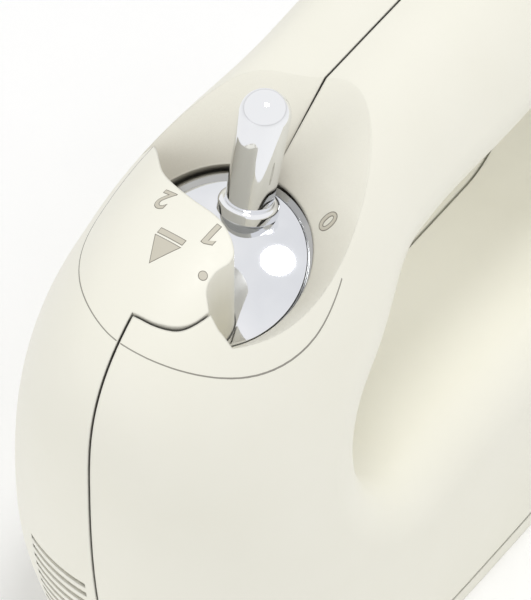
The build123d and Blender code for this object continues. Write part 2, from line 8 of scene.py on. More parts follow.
import bmesh
import bpy
from mathutils import Matrix, Vector
from mathutils.bvhtree import BVHTree


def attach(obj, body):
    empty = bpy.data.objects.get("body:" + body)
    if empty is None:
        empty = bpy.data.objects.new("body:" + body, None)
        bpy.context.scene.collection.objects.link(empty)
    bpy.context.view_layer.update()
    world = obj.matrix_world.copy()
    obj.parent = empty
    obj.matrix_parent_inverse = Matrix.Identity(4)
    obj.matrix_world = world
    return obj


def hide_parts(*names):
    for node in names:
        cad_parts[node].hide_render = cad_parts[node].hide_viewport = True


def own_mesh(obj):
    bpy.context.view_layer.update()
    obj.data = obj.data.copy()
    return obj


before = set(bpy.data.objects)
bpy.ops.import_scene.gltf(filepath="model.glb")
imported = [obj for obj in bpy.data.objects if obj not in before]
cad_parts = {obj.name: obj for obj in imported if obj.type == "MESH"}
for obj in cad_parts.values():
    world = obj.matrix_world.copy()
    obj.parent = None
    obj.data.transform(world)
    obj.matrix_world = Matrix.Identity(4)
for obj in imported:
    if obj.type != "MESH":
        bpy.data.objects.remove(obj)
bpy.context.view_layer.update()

log = logging.getLogger("hand_mixer")
MM = 0.001
DOWN = Vector((0.0, 0.0, -1.0))

# The curve between display colours and linear ones
DISPLAY_TOP = 255.0
SRGB_KNEE, SRGB_SLOPE, SRGB_SHIFT, SRGB_POWER = 0.04045, 12.92, 0.055, 2.4

# Socket numbers of a Mix node that mixes colours
MIX_SHARE, MIX_FIRST, MIX_SECOND, MIX_RESULT = 0, 6, 7, 2

# Every finish's fine grain; the gloss pattern's scale is a share of the grain's
GRAIN_DETAIL = 2.0
GLOSS_SHARE = 0.2
LEAST_ROUGHNESS = 0.02

# Every own piece's mesh, in metres and degrees
MERGE_DISTANCE = 1e-7
SHARP_ANGLE = 35.0


class Body(Enum):
    """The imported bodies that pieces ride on."""

    FRAME = "frame"
    SELECTOR = "selector"


class Slot(Enum):
    """The record's material slots, which the scene's own pieces don't take."""

    CHROME = "chrome"
    INNER = "inner_plastic"
    STEEL = "steel"


def linear(red: int, green: int, blue: int) -> tuple[float, float, float, float]:
    """Turn a display colour into the linear one that shaders take.

    Args:
        red: Display red, 0 to 255.
        green: Display green, 0 to 255.
        blue: Display blue, 0 to 255.

    Returns:
        The linear colour with full opacity.
    """
    parts = [c / DISPLAY_TOP for c in (red, green, blue)]
    bent = [c / SRGB_SLOPE if c <= SRGB_KNEE
            else ((c + SRGB_SHIFT) / (1.0 + SRGB_SHIFT)) ** SRGB_POWER for c in parts]
    return (bent[0], bent[1], bent[2], 1.0)


class Nodes:
    """A small hand for wiring one material's nodes."""

    def __init__(self, name: str) -> None:
        """Start a material with a Principled shader.

        Args:
            name: The material's name.
        """
        self.material = bpy.data.materials.new(name)
        self.material.use_nodes = True
        self.tree = self.material.node_tree
        self.shader = self.tree.nodes["Principled BSDF"]
        self.place = self.add("ShaderNodeTexCoord").outputs["Object"]

    def add(self, kind: str, **settings: object) -> bpy.types.Node:
        """Add a node and set its properties.

        Args:
            kind: The node's type name.
            settings: Properties to set on it.

        Returns:
            The new node.
        """
        node = self.tree.nodes.new(kind)
        for key, value in settings.items():
            setattr(node, key, value)
        return node

    def join(self, source: bpy.types.NodeSocket, target: bpy.types.NodeSocket) -> None:
        """Link one socket to another."""
        self.tree.links.new(source, target)

    def feed(self, node: bpy.types.Node, *values: object) -> bpy.types.Node:
        """Link or set a node's first inputs in order.

        Args:
            node: The node to feed.
            values: A socket, a plain value, or None to leave an input alone.

        Returns:
            The same node.
        """
        for socket, value in zip(node.inputs, values):
            if isinstance(value, bpy.types.NodeSocket):
                self.join(value, socket)
            elif value is not None:
                socket.default_value = value
        return node

    def math(self, operation: str, *values: object) -> bpy.types.NodeSocket:
        """Add a Math node and return its result.

        Args:
            operation: The operation's name.
            values: Its inputs.

        Returns:
            The result socket.
        """
        return self.feed(self.add("ShaderNodeMath", operation=operation), *values).outputs[0]

    def noise(self, scale: float, detail: float = 3.0) -> bpy.types.NodeSocket:
        """Add a noise pattern on the object's own coordinates.

        Args:
            scale: Waves per metre.
            detail: Octaves of detail.

        Returns:
            The noise value, about 0.5 on average.
        """
        node = self.add("ShaderNodeTexNoise")
        self.join(self.place, node.inputs["Vector"])
        node.inputs["Scale"].default_value = scale
        node.inputs["Detail"].default_value = detail
        return node.outputs["Fac"]

    def mapped(self, value: bpy.types.NodeSocket, low: float, high: float,
               start: float = 0.3, end: float = 0.7) -> bpy.types.NodeSocket:
        """Map a value's range on another one.

        Args:
            value: The value to map.
            low: What the start becomes.
            high: What the end becomes.
            start: The start of the value's range.
            end: The end of the value's range.

        Returns:
            The mapped value, held inside its new range.
        """
        node = self.add("ShaderNodeMapRange")
        return self.feed(node, value, start, end, low, high).outputs[0]

    def mix(self, share: object, first: object, second: object) -> bpy.types.NodeSocket:
        """Mix two colours.

        Args:
            share: How much of the second is taken.
            first: A colour or a colour socket.
            second: A colour or a colour socket.

        Returns:
            The mixed colour.
        """
        node = self.add("ShaderNodeMix", data_type="RGBA")
        for index, value in ((MIX_SHARE, share), (MIX_FIRST, first), (MIX_SECOND, second)):
            if isinstance(value, bpy.types.NodeSocket):
                self.join(value, node.inputs[index])
            else:
                node.inputs[index].default_value = value
        return node.outputs[MIX_RESULT]

    def bump(self, height: bpy.types.NodeSocket, distance: float, strength: float,
             under: object = None) -> bpy.types.NodeSocket:
        """Add a bump.

        Args:
            height: The height value.
            distance: Metres per unit of height.
            strength: How much of it shows.
            under: The normal of a bump below it, or None.

        Returns:
            The bumped normal.
        """
        node = self.add("ShaderNodeBump")
        node.inputs["Strength"].default_value = strength
        node.inputs["Distance"].default_value = distance
        self.join(height, node.inputs["Height"])
        if under is not None:
            self.join(under, node.inputs["Normal"])
        return node.outputs["Normal"]

    def socket(self, name: str, value: object) -> None:
        """Set or link a shader socket.

        Args:
            name: The socket's name.
            value: A plain value or a socket.
        """
        if isinstance(value, bpy.types.NodeSocket):
            self.join(value, self.shader.inputs[name])
        else:
            self.shader.inputs[name].default_value = value


@dataclass(frozen=True)
class Finish:
    """A moulded, cast or drawn finish with fine grain and faint patches.

    The patch is a soft change of colour over centimetres, the grain a fine
    bump that also stirs the gloss.
    """

    name: str
    colour: tuple[int, int, int]
    patch: tuple[int, int, int]
    roughness: float = 0.4
    spread: float = 0.06
    metallic: float = 0.0
    grain: float = 2500.0
    depth: float = 0.00002
    patch_scale: float = 40.0
    grain_strength: float = 0.5

    def colours(self, nodes: Nodes) -> bpy.types.NodeSocket:
        """Wire the colour.

        Args:
            nodes: The material's nodes.

        Returns:
            The colour socket.
        """
        share = nodes.mapped(nodes.noise(self.patch_scale), 0.0, 1.0)
        return nodes.mix(share, linear(*self.colour), linear(*self.patch))

    def relief(self, nodes: Nodes) -> bpy.types.NodeSocket:
        """Wire the surface's fine relief.

        Args:
            nodes: The material's nodes.

        Returns:
            The normal socket.
        """
        return nodes.bump(nodes.noise(self.grain, GRAIN_DETAIL), self.depth, self.grain_strength)

    def build(self) -> bpy.types.Material:
        """Make the material.

        Returns:
            The finished material.
        """
        nodes = Nodes(self.name)
        nodes.socket("Normal", self.relief(nodes))
        nodes.socket("Base Color", self.colours(nodes))
        gloss = nodes.noise(self.grain * GLOSS_SHARE)
        least = max(self.roughness - self.spread, LEAST_ROUGHNESS)
        nodes.socket("Roughness", nodes.mapped(gloss, least, self.roughness + self.spread))
        nodes.socket("Metallic", self.metallic)
        return nodes.material


@dataclass(frozen=True)
class StripedFinish(Finish):
    """A finish with even stripes along one axis, as stacked or wound metal has."""

    axis: tuple[float, float, float] = (0.0, 1.0, 0.0)
    pitch: float = 0.0006
    groove: tuple[int, int, int] = (60, 60, 60)
    groove_depth: float = 0.0001
    groove_span: tuple[float, float] = (0.05, 0.5)
    groove_strength: float = 0.6

    def wave(self, nodes: Nodes) -> bpy.types.NodeSocket:
        """Wire the stripes.

        Args:
            nodes: The material's nodes.

        Returns:
            A value that is 0 in the grooves and 1 on the ridges.
        """
        along = nodes.feed(nodes.add("ShaderNodeVectorMath", operation="DOT_PRODUCT"),
                           nodes.place, self.axis).outputs["Value"]
        turn = nodes.math("MULTIPLY", along, 2.0 * math.pi / self.pitch)
        return nodes.math("MULTIPLY_ADD", nodes.math("SINE", turn), 0.5, 0.5)

    def colours(self, nodes: Nodes) -> bpy.types.NodeSocket:
        """Wire the colour, darker in the grooves.

        Args:
            nodes: The material's nodes.

        Returns:
            The colour socket.
        """
        plain = super().colours(nodes)
        share = nodes.mapped(self.wave(nodes), 0.0, 1.0, *self.groove_span)
        return nodes.mix(share, linear(*self.groove), plain)

    def relief(self, nodes: Nodes) -> bpy.types.NodeSocket:
        """Wire the stripes' relief over the fine grain.

        Args:
            nodes: The material's nodes.

        Returns:
            The normal socket.
        """
        return nodes.bump(self.wave(nodes), self.groove_depth, self.groove_strength,
                          super().relief(nodes))


@dataclass(frozen=True)
class ShellFinish(Finish):
    """The satin shell plastic, with painted shade in its joints, gaps and tight corners and in its
    dish, and soft at its edges.

    A reach is how far other faces count as near, a span the openness over which a painted shade
    fades, and the opening the range of Y and Z round the finger opening, where the painted shade in
    the joints stays faint.
    """

    grain_strength: float = 0.4
    # Painted shade in joints, gaps and tight corners: its colour, how near faces must be, and how
    # faint it stays in the finger opening
    joint: tuple[int, int, int] = (46, 44, 40)
    gap_shade_reach: float = 0.0022
    gap_shade_span: tuple[float, float] = (0.12, 0.46)
    gap_shade_faint: float = 0.12
    opening: tuple[float, float, float, float] = (-0.058, 0.08, 0.044, 0.11)
    # Painted shade in the dish ahead of the handle: its colour, reach and limits, weaker towards
    # the front
    dish_shade: tuple[int, int, int] = (196, 191, 178)
    dish_shade_reach: float = 0.03
    dish_shade_span: tuple[float, float] = (0.4, 0.92)
    dish_shade_least: float = 0.3
    dish_shade_end_y: float = -0.008
    dish_shade_fade: tuple[float, float] = (-0.056, -0.036)
    dish_shade_bottom: float = 0.1
    edge: float = 0.0007
    openness_samples: int = 8
    edge_samples: int = 6

    def colours(self, nodes: Nodes) -> bpy.types.NodeSocket:
        """Wire the colour with painted shade in its joints, gaps and tight corners and in its dish.

        Args:
            nodes: The material's nodes.

        Returns:
            The colour socket.
        """
        where = nodes.feed(nodes.add("ShaderNodeSeparateXYZ"), nodes.place)
        along, height = where.outputs["Y"], where.outputs["Z"]
        # Painted shade in the dish: darker where faces within the reach hem it in, only ahead of
        # the end and above the bottom height, and weaker towards the front
        wide = nodes.mapped(self.openness(nodes, self.dish_shade_reach), 1.0, 0.0, *self.dish_shade_span)
        ahead = nodes.math("LESS_THAN", along, self.dish_shade_end_y)
        above = nodes.math("GREATER_THAN", height, self.dish_shade_bottom)
        fade = nodes.mapped(along, self.dish_shade_least, 1.0, *self.dish_shade_fade)
        dish_shade = nodes.math("MULTIPLY", nodes.math("MULTIPLY", wide, fade),
                            nodes.math("MULTIPLY", ahead, above))
        shaded = nodes.mix(dish_shade, super().colours(nodes), linear(*self.dish_shade))
        front, back, low, high = self.opening
        inside = nodes.math("MULTIPLY", self.between(nodes, along, front, back),
                            self.between(nodes, height, low, high))
        # Painted shade, darkest where other faces are nearest, in the joints, gaps and tight
        # corners
        dark = nodes.mapped(self.openness(nodes, self.gap_shade_reach), 1.0, 0.0, *self.gap_shade_span)
        depth = nodes.math("MULTIPLY", dark, nodes.mapped(inside, 1.0, self.gap_shade_faint, 0.0, 1.0))
        return nodes.mix(depth, shaded, linear(*self.joint))

    def openness(self, nodes: Nodes, reach: float) -> bpy.types.NodeSocket:
        """Wire how open a spot is.

        Args:
            nodes: The material's nodes.
            reach: How far other faces count, in metres.

        Returns:
            A value that is 1 on open faces and 0 in deep joints.
        """
        shade = nodes.add("ShaderNodeAmbientOcclusion", samples=self.openness_samples)
        shade.inputs["Distance"].default_value = reach
        return shade.outputs["AO"]

    def between(self, nodes: Nodes, value: bpy.types.NodeSocket, low: float,
                high: float) -> bpy.types.NodeSocket:
        """Wire a test of a value against two limits.

        Args:
            nodes: The material's nodes.
            value: The value.
            low: The lower limit.
            high: The upper limit.

        Returns:
            A value that is 1 between the limits and 0 elsewhere.
        """
        return nodes.math("MULTIPLY", nodes.math("GREATER_THAN", value, low),
                          nodes.math("LESS_THAN", value, high))

    def relief(self, nodes: Nodes) -> bpy.types.NodeSocket:
        """Wire the soft edges and the fine grain.

        Args:
            nodes: The material's nodes.

        Returns:
            The normal socket.
        """
        soft = nodes.add("ShaderNodeBevel", samples=self.edge_samples)
        soft.inputs["Radius"].default_value = self.edge
        return nodes.bump(nodes.noise(self.grain, GRAIN_DETAIL), self.depth, self.grain_strength,
                          soft.outputs["Normal"])


SHELL = ShellFinish("shell_plastic", (241, 239, 227), (239, 237, 224), 0.46, 0.04,
                    grain=3200.0, depth=0.000006)
CHROME = Finish("bright_chrome", (238, 239, 241), (235, 236, 239), 0.04, 0.01, 1.0, 900.0,
                0.0000004)
# The dial's chrome is a darker copy of the peg's, with darker patches: painted shade in its
# reflections
DIAL_CHROME = Finish("dial_chrome", (233, 234, 237), (216, 218, 223), 0.05, 0.01, 1.0, 900.0,
                     0.0000004, 55.0)
# The shoulder's chrome is a much darker copy: a painted reflection of the shade round the dial
CHROME_BAND = Finish("shaded_chrome", (182, 182, 180), (176, 176, 175), 0.12, 0.03, 1.0, 900.0,
                     0.000001)
MARK_FILL = Finish("mark_fill", (203, 198, 183), (198, 192, 177), 0.5)
MARK_LINE = Finish("mark_outline", (128, 123, 112), (120, 115, 104), 0.55)
RING_LINE = Finish("ring_line", (150, 147, 138), (144, 141, 132), 0.55)
INNER = Finish("inner_plastic", (186, 186, 182), (176, 176, 171), 0.5)
BLACK = Finish("black_plastic", (26, 26, 27), (34, 34, 35), 0.5)
LAMINATION = StripedFinish("stacked_laminations", (126, 124, 122), (112, 106, 100), 0.42,
                           metallic=0.9, groove=(52, 48, 45))
COPPER = StripedFinish("enamelled_copper", (176, 92, 48), (150, 72, 36), 0.3, metallic=0.9,
                       axis=(0.0, 0.35, 1.0), groove=(70, 30, 14))
STEEL = Finish("ground_steel", (176, 178, 180), (160, 162, 165), 0.26, metallic=1.0, grain=1800.0)
BRONZE = Finish("sintered_bronze", (150, 112, 66), (130, 94, 54), 0.46, metallic=0.9,
                grain=4000.0)
GEAR = Finish("gear_plastic", (222, 216, 196), (212, 204, 182), 0.42)
CARBON = Finish("brush_carbon", (40, 40, 42), (52, 51, 52), 0.62, grain=5000.0)
BOARD = Finish("circuit_board", (38, 84, 52), (30, 72, 44), 0.4)
RUBBER = Finish("gland_rubber", (212, 209, 197), (204, 200, 188), 0.55)
PAPER = Finish("floor_paper", (255, 255, 255), (254, 254, 254), 0.9)

NODE_FINISHES: dict[str, Finish] = {
    "left_housing": SHELL,
    "right_housing": SHELL,
    "base_cover": SHELL,
    "chassis": INNER,
    "gear_cover": INNER,
    "stator_core": LAMINATION,
    "field_coils": COPPER,
    "front_bush": BRONZE,
    "rear_bush": BRONZE,
    "rear_bracket": STEEL,
    "brush_holders": BRONZE,
    "carbon_brushes": CARBON,
    "dial_seat": BLACK,
    "switch_block": BLACK,
    "circuit_board": BOARD,
    "cord_gland": RUBBER,
    "base_screws": STEEL,
    "motor_shaft": STEEL,
    "worm": STEEL,
    "rotor_core": LAMINATION,
    "rotor_windings": COPPER,
    "commutator": COPPER,
    "cooling_fan": BLACK,
    "left_spindle": STEEL,
    "right_spindle": STEEL,
    "left_worm_wheel": GEAR,
    "right_worm_wheel": GEAR,
    "selector_dial": CHROME,
    "selector_lever": CHROME,
    "selector_shaft": INNER,
    "ejector": INNER,
    "ejector_spring": STEEL,
}


@dataclass
class CarriedNodes:
    """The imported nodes' finishes, and the materials that own pieces share with them."""

    materials: dict[str, bpy.types.Material] = field(default_factory=dict)

    def material(self, finish: Finish) -> bpy.types.Material:
        """Give a finish's material, made once.

        Args:
            finish: The finish.

        Returns:
            Its material.
        """
        if finish.name not in self.materials:
            self.materials[finish.name] = finish.build()
        return self.materials[finish.name]

    def dress(self) -> None:
        """Put each node's finish on it."""
        for name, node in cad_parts.items():
            finish = NODE_FINISHES[name]
            node.data.materials.clear()
            node.data.materials.append(self.material(finish))
            log.info("node %s: %s", name, finish.name)


carried = CarriedNodes()


def polar(centre: tuple[float, float], radius: float, start: float, end: float,
          count: int) -> list[tuple[float, float]]:
    """Give points along an arc of a turned profile.

    Args:
        centre: The arc's centre, out from the axis and up it.
        radius: The arc's radius.
        start: The first angle from the axis, in degrees.
        end: The last angle from the axis, in degrees.
        count: How many points to give.

    Returns:
        The points, out from the axis and up it.
    """
    turns = [math.radians(start + (end - start) * i / (count - 1)) for i in range(count)]
    return [(centre[0] + radius * math.sin(t), centre[1] + radius * math.cos(t)) for t in turns]


def turned(profile: list[tuple[float, float]], place: Matrix, steps: int) -> bmesh.types.BMesh:
    """Spin a profile into a closed turned shape.

    Args:
        profile: Points out from the axis and up it, in millimetres.
        place: Where the axis stands, in metres.
        steps: How many steps the full turn has.

    Returns:
        The shape as a bmesh in its place.
    """
    shape = bmesh.new()
    points = [shape.verts.new((r * MM, 0.0, z * MM)) for r, z in profile]
    edges = [shape.edges.new(pair) for pair in zip(points, points[1:])]
    bmesh.ops.spin(shape, geom=points + edges, cent=(0, 0, 0), axis=(0, 0, 1),
                   angle=2.0 * math.pi, steps=steps, use_merge=True, use_duplicate=False)
    bmesh.ops.remove_doubles(shape, verts=shape.verts[:], dist=MERGE_DISTANCE)
    bmesh.ops.recalc_face_normals(shape, faces=shape.faces[:])
    shape.transform(place)
    return shape


def piece(name: str, shape: bmesh.types.BMesh, finish: Finish,
          body: Body) -> bpy.types.Object:
    """Make a finished piece of a bmesh.

    Args:
        name: The piece's name.
        shape: Its shape, which is used up.
        finish: Its finish.
        body: The body that it rides on.

    Returns:
        The piece.
    """
    mesh = bpy.data.meshes.new(name)
    shape.to_mesh(mesh)
    shape.free()
    mesh.shade_smooth()
    mesh.set_sharp_from_angle(angle=math.radians(SHARP_ANGLE))
    mesh.materials.append(carried.material(finish))
    made = bpy.data.objects.new(name, mesh)
    bpy.context.scene.collection.objects.link(made)
    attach(made, body.value)
    log.info("piece %s: %d faces", name, len(mesh.polygons))
    return made


@dataclass
class Selector:
    """The chrome dial under the shells and the leaning peg that turns it.

    Lengths are in millimetres, heights up the dial's or the peg's axis, and angles in degrees.
    """

    dial_place: tuple[float, float, float] = (0.0, -50.6, 111.5)
    dial_tilt: float = 25.0
    dial_radius: float = 23.0
    crown: float = 4.0
    edge: float = 3.0
    underside: float = -5.5
    dome_radius: float = 46.0
    shoulder_height: float = -3.4
    top_radius: float = 19.6
    top_edge: float = 0.5
    shoulder_drop: float = 0.2
    shoulder_start: float = 20.0
    rim_chamfer: float = 0.6
    dome_points: int = 28
    edge_points: int = 7
    shoulder_points: int = 12
    dial_steps: int = 144
    peg_offset: float = 14.0
    peg_sink: float = 1.0
    peg_lean: float = 16.0
    peg_radius: float = 5.3
    tip_radius: float = 5.7
    peg_length: float = 22.79
    collar_radius: float = 6.8
    collar_top: float = 1.3
    collar_edge: float = 1.0
    collar_end: float = -30.0
    root: float = -2.4
    root_chamfer: float = 1.0
    neck_sink: float = 0.1
    taper_steps: int = 6
    collar_points: int = 14
    tip_points: int = 24
    peg_steps: int = 96

    def dial_frame(self) -> Matrix:
        """Give the dial's frame, its axis leaning towards the nose."""
        place = Matrix.Translation(Vector(self.dial_place) * MM)
        return place @ Matrix.Rotation(math.radians(self.dial_tilt), 4, "X")

    def dial(self) -> None:
        """Turn the domed top and the shoulder round it, in darker copies of the chrome that paint
        shade into their reflections.
        """
        dome = self.dome_radius
        low = self.crown - dome
        flat = self.top_radius - self.top_edge
        lean = math.degrees(math.asin(flat / (dome - self.top_edge)))
        turn = (flat, low + (dome - self.top_edge) * math.cos(math.radians(lean)))
        top = polar((0.0, low), dome, 0.0, lean, self.dome_points)
        top += polar(turn, self.top_edge, lean, 90.0, self.edge_points)[1:]
        top += [(self.top_radius, self.underside), (0.0, self.underside)]
        made = piece("chrome_dial", turned(top, self.dial_frame(), self.dial_steps), DIAL_CHROME,
                     Body.SELECTOR)
        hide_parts("selector_dial")
        band = [(self.top_radius, turn[1] - self.shoulder_drop)]
        band += polar((self.dial_radius - self.edge, self.shoulder_height), self.edge,
                      self.shoulder_start, 90.0, self.shoulder_points)
        band += [(self.dial_radius, self.underside + self.rim_chamfer),
                 (self.dial_radius - self.rim_chamfer, self.underside),
                 (self.top_radius, self.underside)]
        band.append(band[0])
        piece("dial_shoulder", turned(band, self.dial_frame(), self.dial_steps), CHROME_BAND,
              Body.SELECTOR)

    def peg(self) -> None:
        """Turn the peg with its collar and round end."""
        foot = self.dial_frame() @ (Vector((0.0, self.peg_offset, self.crown - self.peg_sink)) * MM)
        place = Matrix.Translation(foot) @ Matrix.Rotation(math.radians(-self.peg_lean), 4, "X")
        turn = (self.collar_radius - self.collar_edge, self.collar_top - self.collar_edge)
        profile = [(0.0, self.root), (self.collar_radius - self.root_chamfer, self.root),
                   (self.collar_radius, self.root + self.root_chamfer)]
        profile += polar(turn, self.collar_edge, 90.0, self.collar_end, self.collar_points)
        start = profile[-1][1] - self.neck_sink
        shares = [i / self.taper_steps for i in range(self.taper_steps + 1)]
        profile += [(self.peg_radius + (self.tip_radius - self.peg_radius) * share,
                     start + (self.peg_length - start) * share) for share in shares]
        profile += polar((0.0, self.peg_length), self.tip_radius, 90.0, 0.0, self.tip_points)[1:]
        made = piece("chrome_peg", turned(profile, place, self.peg_steps), CHROME,
                     Body.SELECTOR)
        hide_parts("selector_lever")

    def build(self) -> None:
        """Make both pieces."""
        self.dial()
        self.peg()


@dataclass
class EjectorSpring:
    """The wound spring under the ejector's plate, which shortens as the ejector goes down.

    Lengths are in millimetres.
    """

    centre: tuple[float, float] = (0.0, -54.0)
    radius: float = 5.0
    wire_radius: float = 0.5
    low: float = 42.65
    high: float = 53.35
    turns: int = 5
    steps_per_turn: int = 40
    wire_sides: int = 10
    seat: float = 42.0
    travel: float = 8.0

    def build(self) -> None:
        """Wind the wire."""
        shape = bmesh.new()
        start = Matrix.Translation((self.radius * MM, 0.0, self.low * MM))
        ring = bmesh.ops.create_circle(shape, segments=self.wire_sides,
                                       radius=self.wire_radius * MM,
                                       matrix=start @ Matrix.Rotation(math.pi / 2.0, 4, "X"))
        steps = self.turns * self.steps_per_turn
        rise = Vector((0.0, 0.0, (self.high - self.low) * MM / steps))
        bmesh.ops.spin(shape, geom=ring["verts"] + shape.edges[:], cent=(0, 0, 0), axis=(0, 0, 1),
                       dvec=rise, angle=2.0 * math.pi * self.turns, steps=steps, use_merge=False,
                       use_duplicate=False)
        ends = [edge for edge in shape.edges if edge.is_boundary]
        bmesh.ops.holes_fill(shape, edges=ends, sides=self.wire_sides)
        bmesh.ops.recalc_face_normals(shape, faces=shape.faces[:])
        shape.transform(Matrix.Translation((self.centre[0] * MM, self.centre[1] * MM, 0.0)))
        made = piece("wound_spring", shape, STEEL, Body.FRAME)
        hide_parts("ejector_spring")
        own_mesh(made)


@dataclass
class Shells:
    """The half shells' faces, on which thin pieces are laid from a height in metres."""

    height: float = 0.2
    nodes: tuple[str, ...] = ("left_housing", "right_housing")
    trees: list[BVHTree] = field(init=False)

    def __post_init__(self) -> None:
        """Take the shells' faces from the frame."""
        graph = bpy.context.evaluated_depsgraph_get()
        self.trees = [BVHTree.FromObject(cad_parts[name], graph) for name in self.nodes]

    def spot(self, x: float, y: float, lift: float) -> Vector | None:
        """Give the highest spot of the shells at a place in plan.

        Args:
            x: The place along X, in metres.
            y: The place along Y, in metres.
            lift: How far the spot stands off the shell, in metres.

        Returns:
            The spot, or None where there is no shell.
        """
        hits = [tree.ray_cast(Vector((x, y, self.height)), DOWN) for tree in self.trees]
        found = [hit for hit in hits if hit[0] is not None]
        if not found:
            return None
        best = max(found, key=lambda hit: hit[0].z)
        return best[0] + best[1] * lift

    def thickened(self, shape: bmesh.types.BMesh, depth: float) -> None:
        """Turn a laid sheet's faces up and give it an edge into the shell.

        Args:
            shape: The sheet, which is changed.
            depth: How deep the edge goes, in metres.
        """
        bmesh.ops.recalc_face_normals(shape, faces=shape.faces[:])
        turned_down = [face for face in shape.faces if face.normal.z < 0.0]
        bmesh.ops.reverse_faces(shape, faces=turned_down)
        bmesh.ops.solidify(shape, geom=shape.faces[:], thickness=depth)


class Sign(Enum):
    """What a mark by the selector shows."""

    TWO = "2"
    ONE = "1"
    ZERO = "0"
    DOT = "dot"
    EJECT = "eject"


@dataclass(frozen=True)
class Spot:
    """Where a mark lies, in millimetres, with its turn in degrees and its size."""

    x: float
    y: float
    turn: float
    height: float
    stretch: float = 1.0


@dataclass(frozen=True)
class Layer:
    """One layer of the marks: how far it is grown and lifted, in millimetres, and its finish."""

    name: str
    growth: float
    lift: float
    finish: Finish


@dataclass
class Marks:
    """The numbers, the dot and the eject sign, set in the shells for the user behind the handle.

    Lengths are in millimetres. The fields from cap_share on are shares of the mark's height, but
    stem_corner is one of the stem's half width and flag_growth one of the outline's growth.
    """

    spots: dict[Sign, Spot] = field(default_factory=lambda: {
        Sign.ONE: Spot(5.0, -60.7, 174.0, 5.2),
        Sign.TWO: Spot(-9.4, -57.0, 172.0, 4.8),
        Sign.EJECT: Spot(-2.4, -67.6, 174.0, 6.0),
        Sign.DOT: Spot(8.8, -69.4, 180.0, 1.7),
        Sign.ZERO: Spot(17.6, -34.5, 151.0, 3.7, 1.25),
    })
    layers: tuple[Layer, ...] = (Layer("mark_outlines", 0.2, 0.02, MARK_LINE),
                                 Layer("mark_fills", 0.04, 0.05, MARK_FILL))
    depth: float = 0.16
    curve_detail: int = 6
    dot_points: int = 28
    longest_edge: float = 1.0
    edge_cuts: int = 3
    cap_share: float = 0.7
    triangle_half: float = 0.55
    triangle_middle: float = 0.12
    bar_top: float = 0.14
    bar_low: float = 0.32
    stem_half: float = 0.09
    stem_top: float = 0.5
    stem_corner: float = 0.4
    flag_end: float = 0.34
    flag_height: float = 0.24
    flag_root: float = 0.42
    flag_width: float = 0.2
    flag_growth: float = 1.6

    def number(self, sign: Sign, spot: Spot, growth: float) -> bmesh.types.BMesh:
        """Draw a number flat, at the origin.

        Args:
            sign: The number.
            spot: Its place and size.
            growth: How far its outline is grown, in millimetres.

        Returns:
            The flat shape, in millimetres.
        """
        size = spot.height / self.cap_share
        curve = bpy.data.curves.new("number", "FONT")
        curve.body, curve.size, curve.offset = sign.value, 1.0, growth / size
        curve.align_x, curve.align_y, curve.resolution_u = "CENTER", "CENTER", self.curve_detail
        text = bpy.data.objects.new("number", curve)
        bpy.context.scene.collection.objects.link(text)
        bpy.context.view_layer.update()
        graph = bpy.context.evaluated_depsgraph_get()
        flat = bpy.data.meshes.new_from_object(text.evaluated_get(graph))
        shape = bmesh.new()
        shape.from_mesh(flat)
        shape.transform(Matrix.Diagonal((size * spot.stretch, size, size, 1.0)))
        bpy.data.objects.remove(text)
        bpy.data.curves.remove(curve)
        bpy.data.meshes.remove(flat)
        return shape

    def eject_sign(self, spot: Spot, growth: float) -> bmesh.types.BMesh:
        """Draw the plain eject sign, a triangle over a bar.

        Args:
            spot: Its place and size.
            growth: How far its outline is grown, in millimetres.

        Returns:
            The flat shape, in millimetres.
        """
        shape = bmesh.new()
        half = spot.height * self.triangle_half
        inner = half / math.sqrt(3.0)
        grown = (inner + growth) / inner
        middle = spot.height * self.triangle_middle
        corners = [(math.sin(t) * 2.0 * inner * grown, middle + math.cos(t) * 2.0 * inner * grown)
                   for t in (0.0, -2.0 * math.pi / 3.0, 2.0 * math.pi / 3.0)]
        shape.faces.new([shape.verts.new((x, y, 0.0)) for x, y in corners])
        side = half + growth
        top = middle - inner - spot.height * self.bar_top + growth
        low = middle - inner - spot.height * self.bar_low - growth
        bar = [(-side, low), (side, low), (side, top), (-side, top)]
        shape.faces.new([shape.verts.new((x, y, 0.0)) for x, y in bar])
        return shape

    def flagged_bar(self, spot: Spot, growth: float) -> bmesh.types.BMesh:
        """Draw the figure one, a bar with a flag at its top.

        Args:
            spot: Its place and size.
            growth: How far its outline is grown, in millimetres.

        Returns:
            The flat shape, in millimetres.
        """
        shape = bmesh.new()
        tall = spot.height
        half, top = self.stem_half * tall + growth, self.stem_top * tall + growth
        flag_x, flag_y = -self.flag_end * tall - growth, self.flag_height * tall
        thick = self.flag_width * tall + self.flag_growth * growth
        corners = [(half, -top), (half, top), (-half * self.stem_corner, top),
                   (flag_x, flag_y + thick / 2.0), (flag_x, flag_y - thick / 2.0),
                   (-half, self.flag_root * tall - thick / 2.0), (-half, -top)]
        shape.faces.new([shape.verts.new((x, y, 0.0)) for x, y in corners])
        return shape

    def drawn(self, sign: Sign, spot: Spot, growth: float) -> bmesh.types.BMesh:
        """Draw a mark flat, at the origin.

        Args:
            sign: The mark.
            spot: Its place and size.
            growth: How far its outline is grown, in millimetres.

        Returns:
            The flat shape, in millimetres.
        """
        if sign is Sign.EJECT:
            return self.eject_sign(spot, growth)
        if sign is Sign.ONE:
            return self.flagged_bar(spot, growth)
        if sign is Sign.DOT:
            shape = bmesh.new()
            bmesh.ops.create_circle(shape, cap_ends=True, segments=self.dot_points,
                                    radius=spot.height / 2.0 + growth)
            return shape
        return self.number(sign, spot, growth)

